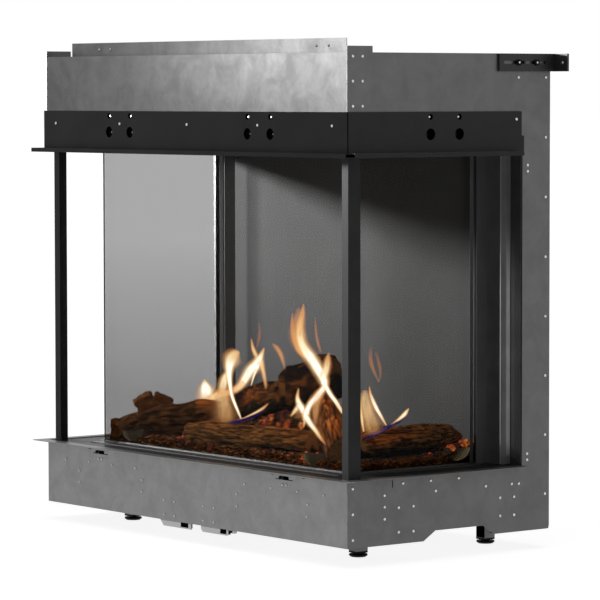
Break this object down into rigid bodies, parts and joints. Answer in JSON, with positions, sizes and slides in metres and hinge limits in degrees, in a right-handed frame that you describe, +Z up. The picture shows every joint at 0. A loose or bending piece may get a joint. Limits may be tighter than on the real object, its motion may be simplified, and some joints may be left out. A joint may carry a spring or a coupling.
{
  "type": "three-sided gas fireplace",
  "caption": "Three-sided built-in gas fire: steel casing with glass on the front and both sides, log burner, flue on top, levelling feet and sliding wall brackets.",
  "frame": {"origin": "on the floor, under the centre of the outline", "axes": "+X to the right seen from the front, +Y to the rear, +Z up"},
  "size_m": [1.165, 0.585, 1.071],
  "materials": {
    "galvanised_sheet": "hot-dip galvanised sheet, matt with soft spangle",
    "black_frame": "black satin paint",
    "black_sill": "black gloss heat-proof paint",
    "dark_trim": "dark grey heat-proof paint",
    "chamber_steel": "grey heat-proof paint, matt",
    "fire_glass": "clear glass ceramic",
    "ceramic_log": "moulded ceramic fibre, painted as charred wood",
    "ember_chips": "loose vermiculite and ceramic chips",
    "brass_fitting": "plain",
    "black_plastic": "moulded, fine texture",
    "bracket_steel": "black satin paint",
    "zinc_hardware": "zinc plated"
  },
  "bodies": {
    "base": {"back_wall": "chamber_steel", "base_floor": "galvanised_sheet", "base_front_panel": "galvanised_sheet", "bracket_screws": "zinc_hardware", "burner": "chamber_steel", "burner_pipe": "brass_fitting", "burner_tray": "chamber_steel", "chamber_hood": "chamber_steel", "charred_log": "ceramic_log", "control_box": "black_plastic", "cross_log": "ceramic_log", "ember_bed": "ember_chips", "floor_brackets": "galvanised_sheet", "flue_spigot_inner": "galvanised_sheet", "flue_spigot_outer": "galvanised_sheet", "frame_front": "black_frame", "frame_left": "black_frame", "frame_right": "black_frame", "front_log": "ceramic_log", "front_post_left": "dark_trim", "front_post_right": "dark_trim", "front_top_panel": "galvanised_sheet", "gas_valve": "brass_fitting", "glass_front": "fire_glass", "glass_left": "fire_glass", "glass_right": "fire_glass", "glass_stiles": "dark_trim", "head_channels": "dark_trim", "inlet_pipe": "brass_fitting", "left_log": "ceramic_log", "leg_caps": "zinc_hardware", "legs": "galvanised_sheet", "long_log": "ceramic_log", "pilot_burner": "chamber_steel", "rear_panel": "galvanised_sheet", "rear_post_left": "dark_trim", "rear_post_right": "dark_trim", "rear_returns": "chamber_steel", "retainer_front": "galvanised_sheet", "right_log": "ceramic_log", "side_panel_left": "galvanised_sheet", "side_panel_right": "galvanised_sheet", "side_retainers": "dark_trim", "side_soffits": "black_sill", "sill_clips": "galvanised_sheet", "sill_front": "black_sill", "sill_left": "black_sill", "sill_right": "black_sill", "soffit_front": "black_sill", "thick_log": "ceramic_log", "top_plate": "galvanised_sheet", "top_strip": "galvanised_sheet"},
    "foot_front_left": {"foot_front_left": "zinc_hardware"},
    "foot_front_right": {"foot_front_right": "zinc_hardware"},
    "foot_rear_left": {"foot_rear_left": "zinc_hardware"},
    "foot_rear_right": {"foot_rear_right": "zinc_hardware"},
    "wall_bracket_left": {"wall_bracket_left": "bracket_steel"},
    "wall_bracket_right": {"wall_bracket_right": "bracket_steel"},
    "mode_knob": {"mode_knob": "black_plastic"},
    "flow_knob": {"flow_knob": "black_plastic"}
  },
  "joints": [
    {"name": "foot_front_left_screw", "type": "slide", "parent": "base", "child": "foot_front_left", "axis": [0, 0, 1], "range_m": [-0.025, 0]},
    {"name": "foot_front_right_screw", "type": "slide", "parent": "base", "child": "foot_front_right", "axis": [0, 0, 1], "range_m": [-0.025, 0]},
    {"name": "foot_rear_left_screw", "type": "slide", "parent": "base", "child": "foot_rear_left", "axis": [0, 0, 1], "range_m": [-0.025, 0]},
    {"name": "foot_rear_right_screw", "type": "slide", "parent": "base", "child": "foot_rear_right", "axis": [0, 0, 1], "range_m": [-0.025, 0]},
    {"name": "wall_bracket_left_slide", "type": "slide", "parent": "base", "child": "wall_bracket_left", "axis": [0, 1, 0], "range_m": [-0.012, 0.025]},
    {"name": "wall_bracket_right_slide", "type": "slide", "parent": "base", "child": "wall_bracket_right", "axis": [0, 1, 0], "range_m": [-0.012, 0.025]},
    {"name": "mode_knob_turn", "type": "hinge", "parent": "base", "child": "mode_knob", "pos_m": [0.28, -0.0858, 0.0945], "axis": [0, -1, 0], "range_deg": [0, 90]},
    {"name": "flow_knob_turn", "type": "hinge", "parent": "base", "child": "flow_knob", "pos_m": [0.34, -0.0858, 0.0945], "axis": [0, -1, 0], "range_deg": [0, 270]}
  ]
}
